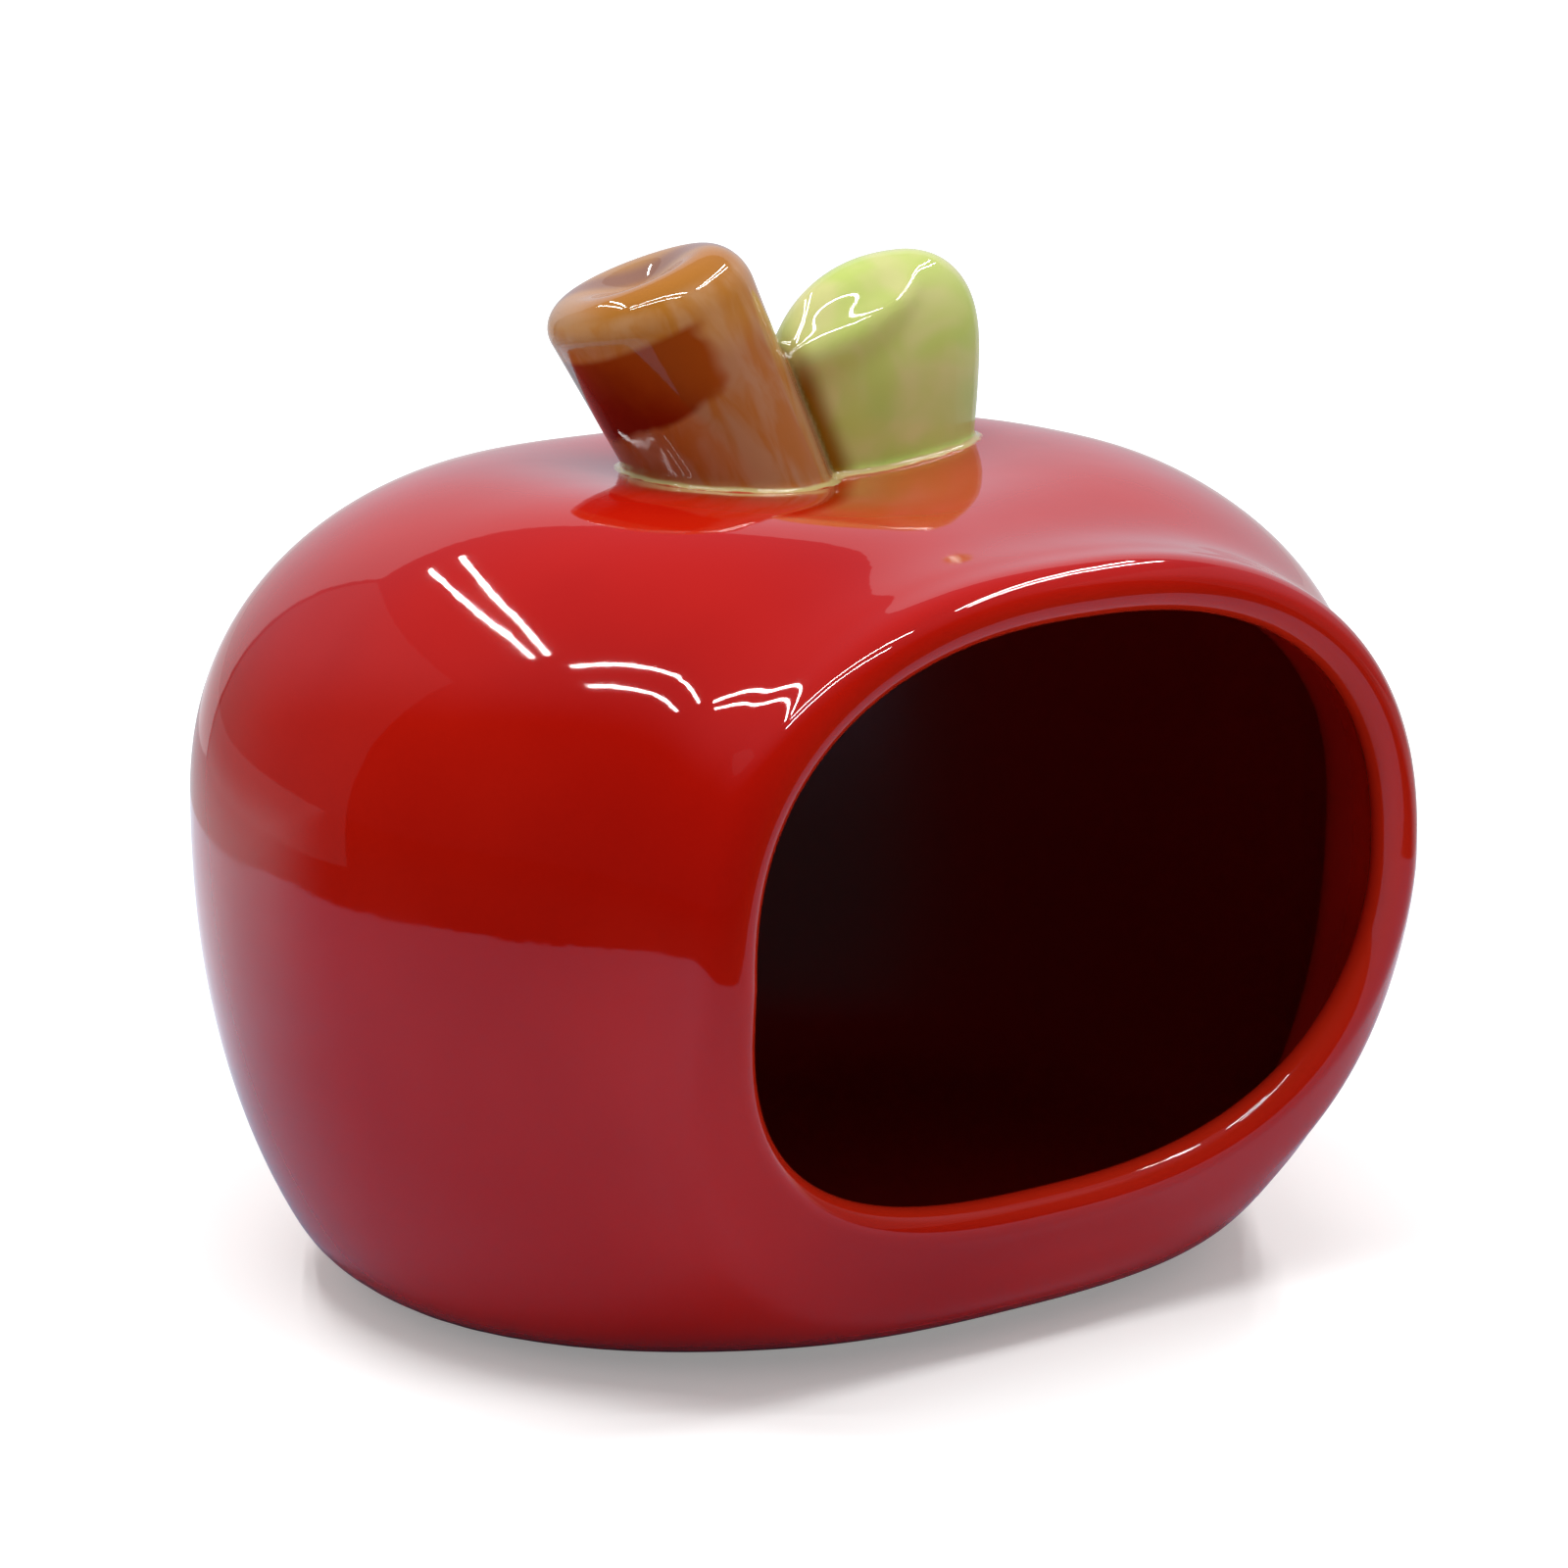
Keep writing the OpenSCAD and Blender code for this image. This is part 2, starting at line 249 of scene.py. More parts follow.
# Floor as the glaze sees it, in front of the object and behind it: the table and what lies beyond
TABLE_FRONT = (0.20, 0.31, 0.47, 1)
TABLE_BEHIND = (0.68, 0.74, 0.84, 1)
BEYOND_FRONT = (0.02, 0.02, 0.02, 1)
BEYOND_BEHIND = (0.50, 0.52, 0.55, 1)
BEHIND_FADE = (0.05, -0.10)

# Room as the glaze sees it: a dark room, a dim wall at the back up to a height, and a pale
# ceiling that leans backwards. A fade is where they set in, as a share of a direction.
ROOM_COLOUR = (0.02, 0.02, 0.025, 1)
WALL_COLOUR = (0.12, 0.12, 0.12, 1)
WALL_FADE = (0.35, 0.65)
WALL_TOP_FADE = (0.62, 0.52)
CEILING_COLOUR = (0.20, 0.21, 0.29, 1)
CEILING_LEAN = 0.6
CEILING_FADE = (0.40, 0.80)

MILLIMETRE = 0.001


def super_radius(c, s, a, b, power):
    """Radius of a superellipse with half sizes a and b in the direction (c, s)."""
    return ((np.abs(c) / a) ** power + (np.abs(s) / b) ** power) ** (-1 / power)


def soft_min(a, b, blend):
    """Smaller of two lengths, with the change from one to the other spread over a blend."""
    h = np.maximum(blend - np.abs(a - b), 0) / blend
    return np.minimum(a, b) - h**3 * blend / 6


def unit(v):
    return v / np.linalg.norm(v, axis=-1, keepdims=True)


def mix(a, b, t):
    return a + (b - a) * t


def smooth_step(t):
    t = np.clip(t, 0, 1)
    return t * t * (3 - 2 * t)


def ramp(value, start, end):
    """Smooth step from 0 to 1 as a value goes from start to end."""
    return smooth_step((value - start) / (end - start))


def bezier(points, t):
    a, b, c, d = points
    return (1 - t) ** 3 * a + 3 * (1 - t) ** 2 * t * b + 3 * (1 - t) * t * t * c + t**3 * d


def dimple_depth(across):
    """Depth of the dimple at a distance from its middle, a little deeper round the sprig's foot."""
    pool = GLAZE_POOL * np.exp(-((across / POOL_RADIUS) ** 4))
    return DIMPLE_DEPTH * np.exp(-((across / DIMPLE_RADIUS) ** 2)) + pool


def skin(direction, inset, floor_height, blend):
    """Points of the apple's skin in unit directions from the core."""
    x, y, rise = np.moveaxis(direction, -1, 0)
    level = np.maximum(np.hypot(x, y), 1e-6)
    depth = HALF_DEPTH - inset - BASE_TAPER * np.maximum(-rise, 0) ** 2
    plan = super_radius(x / level, y / level, HALF_WIDTH - inset, depth, PLAN_POWER)
    upper = super_radius(level, rise, plan, CROWN_RISE - inset, CROWN_POWER)
    lower = super_radius(level, rise, plan, BASE_REACH - inset, BASE_POWER)
    to_floor = (WIDEST_HEIGHT - floor_height) / np.maximum(-rise, 0.001)
    radius = np.where(rise > 0, upper, soft_min(lower, to_floor, blend))
    across = radius * level
    dimple = smooth_step(rise) * dimple_depth(across)
    points = CORE + radius[..., None] * direction
    points[..., 2] -= dimple
    return points


def outer_skin(direction):
    return skin(direction, 0, -FOOT_TRIM, FOOT_BLEND)


def cavity_skin(direction):
    return skin(direction, WALL, FLOOR_THICKNESS, FLOOR_BLEND)


def door_half(angle):
    """Half height and squareness of the half of the doorway that angles point to."""
    lower = np.sin(angle) < 0
    height = np.where(lower, SILL_DROP, DOOR_HEIGHT - SILL_DROP)
    return height, np.where(lower, DOOR_SILL_POWER, DOOR_POWER)


def door_normal(angle):
    """Unit vectors [x, z] that point outwards from the doorway's outline."""
    c, s = np.cos(angle), np.sin(angle)
    height, power = door_half(angle)
    r = super_radius(c, s, 1, 1, power)
    across = np.sign(c) * np.abs(r * c) ** (power - 1) / (DOOR_WIDTH / 2)
    upwards = np.sign(s) * np.abs(r * s) ** (power - 1) / height
    return unit(np.stack([across, upwards], axis=-1))


def door_point(angle, grow, y):
    """Points on the doorway's outline, grown sideways, at the given y."""
    c, s = np.cos(angle), np.sin(angle)
    height, power = door_half(angle)
    r = super_radius(c, s, 1, 1, power)
    normal = door_normal(angle)
    x = DOOR_WIDTH / 2 * r * c + grow * normal[..., 0]
    z = DOOR_CENTRE + height * r * s + grow * normal[..., 1]
    return np.stack([x, np.broadcast_to(y, x.shape), z], axis=-1)


def below(angle):
    return np.maximum(-np.sin(angle), 0) ** 2


def at_corner(angle):
    return np.where(np.sin(angle) < 0, np.sin(2 * angle) ** 2, 0)


def collar_flare(angle):
    flare = mix(COLLAR_FLARE, SILL_FLARE, below(angle)) + CORNER_FLARE * at_corner(angle)
    return np.radians(flare)


def collar_growth(angle):
    spread = mix(COLLAR_SPREAD, SILL_SPREAD, below(angle)) + CORNER_SPREAD * at_corner(angle)
    return LIP_THICKNESS + spread


def door_direction(angle, grow):
    """Directions from the core through the doorway's outline, grown sideways."""
    return unit(door_point(angle, grow, -HALF_DEPTH * COLLAR_AIM) - CORE)


def turned(direction, share):
    """The same directions turned towards the back pole by a share of the way."""
    from_back = np.arccos(direction[..., 1]) * share
    across = unit(direction[..., [0, 2]])
    x = np.sin(from_back) * across[..., 0]
    z = np.sin(from_back) * across[..., 1]
    return np.stack([x, np.cos(from_back), z], axis=-1)


def lean(angle):
    """How far the lip leans back, which sets in softly below the doorway's widest level."""
    r = super_radius(np.cos(angle), np.sin(angle), 1, 1, door_half(angle)[1])
    depth = np.maximum(-r * np.sin(angle), 0)
    return SILL_SETBACK * depth * depth * (1 + LEAN_ONSET) / (depth + LEAN_ONSET)


def lip_point(angle, turn):
    """Points on the half-round lip, where a turn of 0 faces outwards."""
    grow = LIP_RADIUS * (1 + np.cos(turn))
    return door_point(angle, grow, LIP_RADIUS * (1 - np.sin(turn)) - DOOR_FRONT + lean(angle))


def collar_curve(angle, lip_end, skin_end, along):
    """Curve between points on the lip and points on the skin."""
    flare = collar_flare(angle)[..., None]
    out = np.sin(flare) * door_normal(angle)
    direction = np.concatenate([out[..., :1], np.cos(flare), out[..., 1:]], axis=-1)
    reach = np.linalg.norm(skin_end - lip_end, axis=-1, keepdims=True)
    hold = COLLAR_HOLD + CORNER_FULLNESS * at_corner(angle)[..., None]
    handles = lip_end + hold * reach * direction, skin_end + COLLAR_HOLD * reach * along
    return lip_end, *handles, skin_end


def skin_grid():
    """Grid of points from the outer back pole over the lip to the inner back pole."""
    angle = np.arange(LINES) * 2 * math.pi / LINES
    flare = collar_flare(angle)
    outer = door_direction(angle, collar_growth(angle))
    inner = door_direction(angle, collar_growth(angle) - WALL)
    rows = [outer_skin(turned(outer, j / BODY_ROWS)) for j in range(1, BODY_ROWS + 1)]

    start = outer_skin(outer)
    along = unit(start - outer_skin(turned(outer, NEAR_EDGE)))
    curve = collar_curve(angle, lip_point(angle, flare), start, along)
    rows += [bezier(curve, 1 - j / COLLAR_ROWS) for j in range(1, COLLAR_ROWS + 1)]

    rows += [lip_point(angle, flare + math.pi * j / LIP_ROWS) for j in range(1, LIP_ROWS + 1)]

    end = cavity_skin(inner)
    along = unit(end - cavity_skin(turned(inner, NEAR_EDGE)))
    curve = collar_curve(angle, lip_point(angle, flare + math.pi), end, along)
    rows += [bezier(curve, j / THROAT_ROWS) for j in range(1, THROAT_ROWS + 1)]

    rows += [cavity_skin(turned(inner, 1 - j / CAVITY_ROWS)) for j in range(1, CAVITY_ROWS)]
    return np.stack(rows)


def eased(grid, middle, before, after, passes):
    """The grid drawn smooth along each line, most at a middle row and less towards both ends."""
    smooth = grid.copy()
    first, last = middle - before, middle + after
    for _ in range(passes):
        inner = smooth[first:last]
        smooth[first:last] = (smooth[first - 1 : last - 1] + 2 * inner + smooth[first + 1 : last + 1]) / 4
    row = np.arange(len(grid)) - middle
    weight = smooth_step(2 + 2 * row / before) * smooth_step(2 - 2 * row / after)
    return mix(grid, smooth, weight[:, None, None])


def foot_reach(plan_angle):
    """Reach of the flat foot from the middle in plan directions, found by halving."""
    low, high = [np.full(plan_angle.shape, math.radians(tilt)) for tilt in FOOT_TILTS]
    for _ in range(FOOT_HALVINGS):
        tilt = (low + high) / 2
        level = np.cos(tilt)
        x, y = level * np.cos(plan_angle), level * np.sin(plan_angle)
        point = outer_skin(np.stack([x, y, -np.sin(tilt)], axis=-1))
        above = point[..., 2] > 0
        low = np.where(above, tilt, low)
        high = np.where(above, high, tilt)
    return np.hypot(point[..., 0], point[..., 1])


def with_foot(points):
    """Outer skin with the flat foot ring and its recess, and how far inside the foot a point lies."""
    flat = points[..., 2] < FLAT_HEIGHT
    reach = foot_reach(np.arctan2(points[..., 1], points[..., 0]))
    inwards = reach - np.hypot(points[..., 0], points[..., 1])
    start, end = RECESS_EDGE
    rise = FOOT_RECESS * ramp(inwards, FOOT_RING_WIDTH + start, FOOT_RING_WIDTH + end)
    points = points.copy()
    points[..., 2] = np.where(flat, rise, points[..., 2])
    low = points[..., 2] < WIDEST_HEIGHT / 2
    return points, np.where(low, np.maximum(inwards, OFF_FOOT), OFF_FOOT)


def add_mesh(name, points, faces, attributes):
    """Smooth mesh object from points in millimetres, with a number at each point."""
    mesh = bpy.data.meshes.new(name)
    mesh.from_pydata((points * MILLIMETRE).tolist(), [], faces)
    for label, values in attributes.items():
        kind = "FLOAT" if values.ndim == 1 else "FLOAT_VECTOR"
        field = "value" if values.ndim == 1 else "vector"
        layer = mesh.attributes.new(label, kind, "POINT")
        layer.data.foreach_set(field, values.astype(np.float32).ravel())
    mesh.shade_smooth()
    mesh.update()
    piece = bpy.data.objects.new(name, mesh)
    bpy.context.scene.collection.objects.link(piece)
    return piece


def build_body():
    """The cast shell: apple, collar, lip, throat and cavity in one closed surface."""
    grid = skin_grid()
    grid = eased(grid, BODY_ROWS, BODY_ROWS_EASED, COLLAR_ROWS - 1, GROOVE_PASSES)
    outer_rows = BODY_ROWS + COLLAR_ROWS
    grid[:outer_rows], foot = with_foot(grid[:outer_rows])
    foot_depth = np.full(grid.shape[:2], OFF_FOOT)
    foot_depth[:outer_rows] = foot

    rows, lines = grid.shape[:2]
    number = np.arange(rows * lines).reshape(rows, lines)
    following = np.roll(number, -1, axis=1)
    sides = np.stack([number[:-1], following[:-1], following[1:], number[1:]], axis=-1)
    outer_pole = rows * lines
    inner_pole = outer_pole + 1
    first = [[outer_pole, b, a] for a, b in zip(number[0], following[0])]
    last = [[inner_pole, a, b] for a, b in zip(number[-1], following[-1])]
    back = np.array([0.0, 1.0, 0.0])
    points = np.concatenate([grid.reshape(-1, 3), outer_skin(back)[None], cavity_skin(back)[None]])

    row_of = np.repeat(np.arange(rows), lines)
    # How far inside a point lies, which roughens the glaze and sets the painted shade of the cavity
    inside = smooth_step((row_of - outer_rows - LIP_ROWS) / (THROAT_ROWS / 2))
    from_crest = (row_of - outer_rows) / LIP_ROWS - CREST_PLACE
    crest = np.exp(-((from_crest / CREST_SPREAD) ** 2))
    attributes = {
        "foot": np.append(foot_depth.ravel(), [OFF_FOOT, OFF_FOOT]),
        "inside": np.append(inside, [0, 1]),
        "crest": np.append(crest, [0, 0]),
    }
    return add_mesh("apple_body", points, sides.reshape(-1, 4).tolist() + first + last, attributes)


def stem_height_at(p):
    """Height of points along the leaning stem, and their place across it.

    The levels of the stem tilt more and more towards its cut, so the height solves a quadratic.
    """
    x, y, z = np.moveaxis(p - STEM_PLACE, -1, 0)
    lean, back = math.radians(STEM_LEAN), math.radians(STEM_BACK_LEAN)
    right_up, front_up = math.sin(math.radians(CUT_TILT)), math.sin(back)
    a = (math.tan(lean) * right_up + math.tan(back) * front_up) / STEM_HEIGHT
    b = 1 + (x * right_up - y * front_up) / STEM_HEIGHT
    raised = (np.sqrt(np.maximum(b * b + 4 * a * np.maximum(z, 0), 0)) - b) / (2 * a)
    height = np.where(z > 0, raised, z)
    return height, x + height * math.tan(lean), y - height * math.tan(back)


def stem_field(p):
    """Rough distance to the stem, with a rounded rim and a dished top."""
    height, x, y = stem_height_at(p)
    across = np.hypot(x, y)
    turn = np.arctan2(y, x)
    shoulder = STEM_HEIGHT - STEM_RIM
    swell = ramp(height, STEM_ROOT_HEIGHT, shoulder)
    radius = mix(STEM_ROOT_DIAMETER, STEM_DIAMETER, swell) / 2
    radius = radius * (1 + STEM_LOBES * np.cos(3 * turn + math.radians(LOBE_TURN)))
    dish = STEM_DISH * smooth_step(1 - across / (STEM_DIAMETER / 2 - STEM_RIM))
    side = across - radius + STEM_RIM
    top = height - STEM_HEIGHT + dish + STEM_RIM
    corner = np.hypot(np.maximum(side, 0), np.maximum(top, 0))
    return corner + np.minimum(np.maximum(side, top), 0) - STEM_RIM


def leaf_field(p):
    """Field of the thick leaf, whose sides draw in round its tip, with the ridge up its front."""
    x, y, z = np.moveaxis(p - LEAF_PLACE, -1, 0)
    share = np.clip(z / LEAF_HEIGHT, 0, LEAF_LIMIT)
    above_shoulder = np.maximum(share - LEAF_SHOULDER, 0) / (1 - LEAF_SHOULDER)
    pinch = 1 - LEAF_PINCH * np.maximum(1 - share, 0) ** 3
    side_share = np.where(x < 0, LEAF_TIP_SHARE, 1 - LEAF_TIP_SHARE)
    across = np.maximum(np.hypot(x, y), 1e-6)
    turn = np.degrees(np.arctan2(y, x)) % 360
    ridge_turn = mix(*RIDGE_TURNS, share)
    fade = smooth_step(share / RIDGE_RISE) * smooth_step((1 - share) / RIDGE_FALL)
    ridge = LEAF_RIDGE * fade * np.exp(-(((turn - ridge_turn) / RIDGE_SPREAD) ** 2))
    half = pinch * LEAF_WIDTH * side_share
    reach = super_radius(x / across, y / across, half, LEAF_THICKNESS / 2, LEAF_POWER) + ridge
    draw_in = LEAF_DRAW_IN + LEAF_DRAW_SKEW * x / across
    return (across / reach) ** LEAF_POWER + above_shoulder**draw_in - 1


def body_field(p):
    """Rough distance to the apple's skin round the dimple."""
    x, y, z = np.moveaxis(p, -1, 0)
    across = np.maximum(np.hypot(x, y), 1e-6)
    plan = super_radius(x / across, y / across, HALF_WIDTH, HALF_DEPTH, PLAN_POWER)
    rise = CROWN_RISE * (1 - (across / plan) ** CROWN_POWER) ** (1 / CROWN_POWER)
    fade = smooth_step(rise / np.hypot(rise, across))
    return z - WIDEST_HEIGHT - rise + fade * dimple_depth(across)


def gradient(field, p, e=0.04):
    steps = np.eye(3) * e
    return np.stack([(field(p + s) - field(p - s)) / (2 * e) for s in steps], axis=-1)


def as_distance(field, p):
    """A field divided by its slope, which is close to the distance near its surface."""
    slope = np.maximum(np.linalg.norm(gradient(field, p), axis=-1), 0.03)
    return field(p) / slope


def sprig_field(p):
    """Stem and leaf joined to each other and to the body by rounded corners of glaze."""
    sprig = soft_min(as_distance(stem_field, p), as_distance(leaf_field, p), SPRIG_FILLET)
    return soft_min(sprig, as_distance(body_field, p) + SPRIG_SINK, WATERLINE_FILLET)


def net_points(field, cells):
    """Middle of the places where each cell's edges cross the zero level, in grid steps."""
    total, hits = np.zeros((len(cells), 3)), np.zeros(len(cells))
    for axis in range(3):
        others = [a for a in range(3) if a != axis]
        for shift in itertools.product((0, 1), repeat=2):
            start = cells.copy()
            start[:, others] += shift
            stop = start.copy()
            stop[:, axis] += 1
            a, b = field[tuple(start.T)], field[tuple(stop.T)]
            change = (a < 0) != (b < 0)
            place = start.astype(float)
            place[:, axis] += np.where(change, a / np.where(change, a - b, 1), 0)
            total[change] += place[change]
            hits += change
    return total / hits[:, None]


def net_quads(inside, number, axis):
    """Quads round the grid's edges along one axis that cross the zero level, facing outwards."""
    u, v = (axis + 1) % 3, (axis + 2) % 3
    layers = np.moveaxis(inside, axis, 0)
    edges = np.argwhere(np.moveaxis(layers[1:] != layers[:-1], 0, axis))
    surrounded = (edges[:, u] > 0) & (edges[:, v] > 0)
    surrounded &= (edges[:, u] < number.shape[u]) & (edges[:, v] < number.shape[v])
    edges = edges[surrounded]
    around = []
    for before_u, before_v in ((1, 1), (0, 1), (0, 0), (1, 0)):
        cell = edges.copy()
        cell[:, u] -= before_u
        cell[:, v] -= before_v
        around.append(number[tuple(cell.T)])
    quad = np.stack(around, axis=-1)
    starts_inside = inside[tuple(edges.T)]
    return np.where(starts_inside[:, None], quad, quad[:, ::-1])


def surface_net(field):
    """Points, in grid steps, and quads of the zero level of a field, with a point to each cell."""
    inside = field < 0
    shape = np.array(field.shape) - 1
    count = np.zeros(shape, int)
    for i, j, k in itertools.product((0, 1), repeat=3):
        count += inside[i : i + shape[0], j : j + shape[1], k : k + shape[2]]
    crossed = (count > 0) & (count < 8)
    number = np.full(crossed.shape, -1)
    number[crossed] = np.arange(crossed.sum())
    points = net_points(field, np.argwhere(crossed))
    quads = [net_quads(inside, number, axis) for axis in range(3)]
    return points, np.concatenate(quads)


def settled(points):
    """Points moved along the slope onto the surface of the sprig."""
    for _ in range(SETTLING_STEPS):
        slope = gradient(sprig_field, points)
        points = points - slope * (sprig_field(points) / np.sum(slope**2, axis=-1))[:, None]
    return points


def without_body(points, quads):
    """The stem, the leaf and their fillets, without the skin of the body round them."""
    sprig = soft_min(as_distance(stem_field, points), as_distance(leaf_field, points), SPRIG_FILLET)
    body_level = as_distance(body_field, points) + SPRIG_SINK
    own = sprig < body_level + WATERLINE_FILLET - WATERLINE_TRIM
    quads = quads[own[quads].all(axis=1)]
    used = np.unique(quads)
    number = np.full(len(points), -1)
    number[used] = np.arange(len(used))
    return points[used], number[quads]


def sprig_numbers(points):
    """Numbers at points of the sprig that its glazes and the painted shade of its crease follow."""
    stem, leaf = as_distance(stem_field, points), as_distance(leaf_field, points)
    height, x, y = stem_height_at(points)
    turn = math.radians(CAMERA_AZIMUTH)
    right = x * math.cos(turn) + y * math.sin(turn)
    front = x * math.sin(turn) - y * math.cos(turn)
    beside_leaf = (1 - ramp(stem, *POOL)) * ramp(stem - leaf, -POOL_BORDER, POOL_BORDER)
    return {
        "leaf": ramp(stem - leaf, -LEAF_BORDER, LEAF_BORDER),
        "crease": 1 - ramp(np.maximum(stem, leaf), *CREASE),
        "pool": beside_leaf * (1 - ramp(height, *POOL_HEIGHTS)),
        "above": as_distance(body_field, points),
        "cut": ramp(height, CUT_START, CUT_START + CUT_BORDER),
        "grain": np.stack([right, front, height], axis=-1),
    }


def build_sprig():
    """The stem and the leaf with the fillets of glaze between them and the body."""
    counts = np.ceil((SPRIG_HIGH - SPRIG_LOW) / SPRIG_STEP).astype(int)
    axes = [low + SPRIG_STEP * np.arange(count + 1) for low, count in zip(SPRIG_LOW, counts)]
    grid = np.stack(np.meshgrid(*axes, indexing="ij"), axis=-1)
    steps, quads = surface_net(sprig_field(grid))
    points, quads = without_body(settled(SPRIG_LOW + SPRIG_STEP * steps), quads)
    return add_mesh("stem_and_leaf", points, quads.tolist(), sprig_numbers(points))


def add(tree, kind, inputs=None, **settings):
    """Shader node with its settings, and with each input linked or given a value."""
    node = tree.nodes.new(kind)
    for name, value in settings.items():
        setattr(node, name, value)
    for name, value in (inputs or {}).items():
        if isinstance(value, bpy.types.NodeSocket):
            tree.links.new(value, node.inputs[name])
        else:
            node.inputs[name].default_value = value
    return node


def new_material(name):
    material = bpy.data.materials.new(name)
    material.use_nodes = True
    material.node_tree.nodes.clear()
    return material, material.node_tree


def attribute(tree, name, output="Fac"):
    return add(tree, "ShaderNodeAttribute", attribute_name=name).outputs[output]


def math_node(tree, operation, a, b=0.0, clamp=False):
    node = add(tree, "ShaderNodeMath", {0: a, 1: b}, operation=operation, use_clamp=clamp)
    return node.outputs[0]


def plus(tree, a, b):
    return math_node(tree, "ADD", a, b)


def minus(tree, a, b):
    return math_node(tree, "SUBTRACT", a, b)


def times(tree, a, b):
    return math_node(tree, "MULTIPLY", a, b)


def reach_along(tree, vector, direction):
    """How far a vector reaches in a direction."""
    node = add(tree, "ShaderNodeVectorMath", {0: vector, 1: direction}, operation="DOT_PRODUCT")
    return node.outputs["Value"]


def blended(tree, factor, a, b):
    """Colour a turning into colour b as the factor goes from 0 to 1."""
    node = add(tree, "ShaderNodeMix", data_type="RGBA")
    for socket, value in ((node.inputs[0], factor), (node.inputs[6], a), (node.inputs[7], b)):
        if isinstance(value, bpy.types.NodeSocket):
            tree.links.new(value, socket)
        else:
            socket.default_value = value
    return node.outputs[2]


def stepped(tree, value, low, high, to_low=0.0, to_high=1.0):
    """A value's smooth step between two limits."""
    inputs = {"Value": value, "From Min": low, "From Max": high, "To Min": to_low, "To Max": to_high}
    node = add(tree, "ShaderNodeMapRange", inputs, interpolation_type="SMOOTHSTEP")
    return node.outputs["Result"]


def noise(tree, place, scale, detail=2.0, roughness=0.5, distortion=0.0):
    inputs = {
        "Vector": place,
        "Scale": scale,
        "Detail": detail,
        "Roughness": roughness,
        "Distortion": distortion,
    }
    return add(tree, "ShaderNodeTexNoise", inputs).outputs["Fac"]


def object_place(tree):
    return add(tree, "ShaderNodeTexCoord").outputs["Object"]


def glaze_bump(tree, place, strength):
    """Slow waviness of a fired glaze with faint orange peel."""
    slow = noise(tree, place, 38.0, 1.0)
    fine = noise(tree, place, 260.0, 2.0)
    height = plus(tree, slow, times(tree, fine, 0.06))
    inputs = {"Height": height, "Strength": strength, "Distance": 0.0006}
    return add(tree, "ShaderNodeBump", inputs).outputs["Normal"]


def add_shader(tree, colour, roughness, normal):
    """Gloss shader as the material's surface."""
    inputs = {"Base Color": colour, "Roughness": roughness, "IOR": 1.5, "Normal": normal}
    shader = add(tree, "ShaderNodeBsdfPrincipled", inputs)
    add(tree, "ShaderNodeOutputMaterial", {"Surface": shader.outputs["BSDF"]})


def bare_foot(tree, place):
    """Share of bare clay: the foot ring, with slightly uneven edges where the glaze was wiped."""
    fringe = times(tree, noise(tree, place, 180.0, 2.0), 1.2)
    foot = plus(tree, attribute(tree, "foot"), fringe)
    inner_edge = stepped(tree, foot, FOOT_RING_WIDTH + 0.5, FOOT_RING_WIDTH + 0.1)
    return times(tree, stepped(tree, foot, 0.4, 0.8), inner_edge)


def red_glaze():
    """Deep red gloss glaze, lighter on the lip, rougher inside and darkened there as painted shade, with
    a bare clay foot ring.
    """
    material, tree = new_material("red_glaze")
    place = object_place(tree)
    cloud = noise(tree, place, 22.0, 3.0)
    grit = noise(tree, place, 900.0, 3.0)
    smear = noise(tree, place, 60.0, 3.0)
    bare = bare_foot(tree, place)
    inside = attribute(tree, "inside")

    colour = blended(tree, stepped(tree, cloud, 0.35, 0.65), DEEP_RED, LIGHT_RED)
    colour = blended(tree, times(tree, attribute(tree, "crest"), 0.5), colour, THIN_RED)
    # Painted shade: the glaze darkens towards a dark red as it goes into the cavity
    colour = blended(tree, times(tree, inside, 0.7), colour, CAVITY_SHADE_RED)
    clay = blended(tree, stepped(tree, grit, 0.3, 0.7), CLAY, CLAY_GRIT)
    colour = blended(tree, bare, colour, clay)

    gloss = plus(tree, stepped(tree, smear, 0.3, 0.8, 0.025, 0.07), times(tree, inside, 0.25))
    roughness = math_node(tree, "ADD", gloss, times(tree, bare, 0.8), clamp=True)
    add_shader(tree, colour, roughness, glaze_bump(tree, place, 0.35))
    return material


def stem_side(tree, grain, right, front, height):
    """Colours of the stem's side: brushed tan and ochre, with a dark rust pool on its front left."""
    stretched = add(tree, "ShaderNodeVectorMath", {0: grain, 1: (1.0, 1.0, 0.45)}, operation="MULTIPLY")
    streaks = noise(tree, stretched.outputs[0], 0.32, 3.0, 0.5, 0.5)
    blotches = noise(tree, grain, 0.20, 2.0, 0.5, 0.5)
    upper = blended(tree, stepped(tree, streaks, 0.35, 0.65), STEM_OCHRE, STEM_TAN)
    lower = blended(tree, stepped(tree, streaks, 0.35, 0.62), STEM_AMBER, STEM_ROSE)
    side = blended(tree, stepped(tree, height, 15.5, 11.5), upper, lower)

    swing = times(tree, minus(tree, blotches, 0.5), 5.0)
    pool_right = plus(tree, stepped(tree, height, 3.0, 11.0, -11.5, 5.0), swing)
    in_pool = stepped(tree, minus(tree, pool_right, right), -1.2, 1.6)
    in_front = stepped(tree, front, -6.0, -1.0)
    pool_top = plus(tree, times(tree, right, 0.12), 15.6)
    under_top = stepped(tree, minus(tree, pool_top, height), -0.4, 0.5)
    pool = times(tree, times(tree, in_pool, in_front), under_top)
    thinness = minus(tree, plus(tree, height, times(tree, right, 0.7)), swing)
    rust = blended(tree, stepped(tree, thinness, 4.0, 14.0), DARK_RUST, LIGHT_RUST)
    return blended(tree, pool, side, rust)


